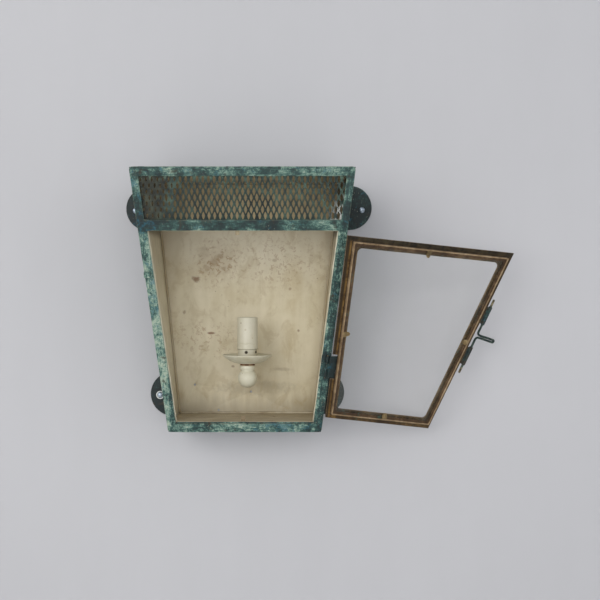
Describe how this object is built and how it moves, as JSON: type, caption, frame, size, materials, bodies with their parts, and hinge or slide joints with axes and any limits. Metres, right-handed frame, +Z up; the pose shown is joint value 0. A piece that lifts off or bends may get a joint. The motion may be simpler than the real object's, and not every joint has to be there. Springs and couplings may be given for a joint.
{
  "type": "outdoor wall lantern",
  "caption": "Tapered wall lantern casing with a lozenge vent grille, a candle lampholder on a drip dish, and a glazed side-hung door with a sliding latch.",
  "frame": {"origin": "centre of the back plate's rear face, in the plane of the wall", "axes": "+Y into the wall, -Y out of the front, +Z up, +X to the right as seen from the front"},
  "size_m": [0.5236, 0.1848, 0.3386],
  "materials": {
    "verdigris_green": "old dark teal paint over brass, mottled with pale verdigris",
    "ear_green": "old dark teal paint, blackened",
    "cream_enamel": "cream paint, stained and dusty",
    "screw_steel": "dull grey steel",
    "lamp_cream": "cream paint",
    "holder_plastic": "cream plastic, slightly glossy",
    "rusty_steel": "rusty",
    "contact_brass": "dull brass",
    "door_brass": "dark brown weathered brass with worn edges",
    "clip_gold": "bent sheet brass, golden",
    "door_glass": "clear window glass, slightly dusty",
    "hinge_green": "dark green paint, worn to brass on the knuckles",
    "latch_green": "dark green patina, worn to brass on the tips"
  },
  "bodies": {
    "casing": {"front_top_rail": "verdigris_green", "front_mid_rail": "verdigris_green", "front_bottom_rail": "verdigris_green", "front_left_stile": "verdigris_green", "front_right_stile": "verdigris_green", "left_side_panel": "verdigris_green", "right_side_panel": "verdigris_green", "roof_plate": "verdigris_green", "vent_grille": "verdigris_green", "door_stop_top": "verdigris_green", "ear_top_left": "ear_green", "ear_top_right": "ear_green", "ear_bottom_left": "ear_green", "ear_bottom_right": "ear_green", "back_plate": "cream_enamel", "bottom_plate": "cream_enamel", "door_stop_bottom": "cream_enamel", "wall_screw_top_left": "screw_steel", "wall_screw_top_right": "screw_steel", "wall_screw_bottom_left": "screw_steel", "wall_screw_bottom_right": "screw_steel", "arm_flange": "lamp_cream", "arm_tube": "lamp_cream", "bracket_ball": "lamp_cream", "drip_dish": "lamp_cream", "lampholder_base": "holder_plastic", "lampholder_sleeve": "holder_plastic", "lampholder_insulator": "holder_plastic", "locking_ring": "rusty_steel", "threaded_nipple": "contact_brass", "lampholder_thread": "contact_brass", "centre_contact": "contact_brass", "terminal_screw_left": "contact_brass", "terminal_screw_right": "contact_brass", "hinge_body_leaf": "hinge_green", "hinge_pin": "hinge_green", "latch_keeper": "latch_green"},
    "door": {"door_top_rail": "door_brass", "door_hinge_stile": "door_brass", "door_bottom_rail": "door_brass", "door_latch_stile": "door_brass", "door_glass": "door_glass", "glass_clip_top": "clip_gold", "glass_clip_hinge_side": "clip_gold", "glass_clip_bottom": "clip_gold", "glass_clip_latch_side": "clip_gold", "hinge_door_leaf": "hinge_green", "latch_tube_upper": "latch_green", "latch_tube_lower": "latch_green"},
    "latch": {"latch_bolt": "latch_green"}
  },
  "joints": [
    {"name": "door_swing", "type": "hinge", "parent": "casing", "child": "door", "pos_m": [0.1048, -0.12344, -0.08032], "axis": [0.1113, -0.2833, 0.9526], "range_deg": [-201.8, 3]},
    {"name": "latch_slide", "type": "slide", "parent": "door", "child": "latch", "axis": [0.3957, -0.1847, 0.8996], "range_m": [-0.01, 0.011]}
  ]
}
